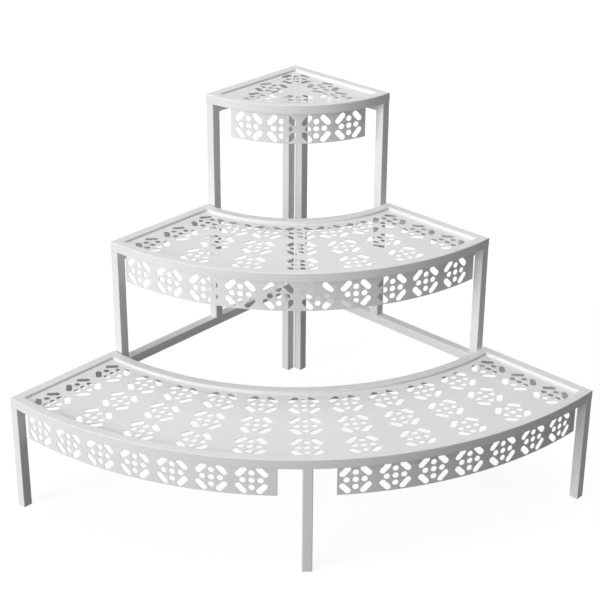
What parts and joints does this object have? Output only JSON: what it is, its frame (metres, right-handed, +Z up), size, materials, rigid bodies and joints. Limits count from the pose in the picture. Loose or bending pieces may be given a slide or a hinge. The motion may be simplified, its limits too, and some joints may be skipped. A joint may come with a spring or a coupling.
{
  "type": "tiered corner plant stand",
  "caption": "Quarter-round corner plant stand with three stepped perforated shelves on welded square-tube side frames and one loose front leg.",
  "frame": {"origin": "on the floor, under the centre of the stand's box", "axes": "+X to the stand's right as seen from its front, -Y to its front, +Y to its back corner, +Z up"},
  "size_m": [1.0466, 0.7399, 0.675],
  "materials": {
    "frame_coat": "white powder coat, satin, fine orange peel",
    "sheet_coat": "white powder coat over perforated sheet, satin",
    "foot_plastic": "white moulded plastic, fine texture",
    "zinc": "zinc-plated steel"
  },
  "bodies": {
    "root": {"left_back_post": "frame_coat", "left_top_rail": "frame_coat", "left_top_leg": "frame_coat", "left_middle_rail": "frame_coat", "left_middle_leg": "frame_coat", "left_bottom_rail": "frame_coat", "left_bottom_leg": "frame_coat", "right_back_post": "frame_coat", "right_top_rail": "frame_coat", "right_top_leg": "frame_coat", "right_middle_rail": "frame_coat", "right_middle_leg": "frame_coat", "right_bottom_rail": "frame_coat", "right_bottom_leg": "frame_coat", "front_leg": "frame_coat", "top_rim_left": "frame_coat", "top_rim_right": "frame_coat", "top_rim_front": "frame_coat", "middle_rim_left": "frame_coat", "middle_rim_right": "frame_coat", "middle_rim_front": "frame_coat", "middle_rim_inner": "frame_coat", "bottom_rim_left": "frame_coat", "bottom_rim_right": "frame_coat", "bottom_rim_front": "frame_coat", "bottom_rim_inner": "frame_coat", "top_panel": "sheet_coat", "middle_panel": "sheet_coat", "bottom_panel": "sheet_coat", "top_apron": "sheet_coat", "middle_apron": "sheet_coat", "bottom_apron_left": "sheet_coat", "bottom_apron_right": "sheet_coat", "left_back_foot": "foot_plastic", "left_front_foot": "foot_plastic", "right_back_foot": "foot_plastic", "right_front_foot": "foot_plastic", "front_leg_foot": "foot_plastic", "left_top_screw_back": "zinc", "left_top_screw_front": "zinc", "left_middle_screw_back": "zinc", "left_middle_screw_front": "zinc", "left_bottom_screw_back": "zinc", "left_bottom_screw_front": "zinc", "right_top_screw_back": "zinc", "right_top_screw_front": "zinc", "right_middle_screw_back": "zinc", "right_middle_screw_front": "zinc", "right_bottom_screw_back": "zinc", "right_bottom_screw_front": "zinc", "front_leg_insert": "zinc"}
  },
  "joints": []
}
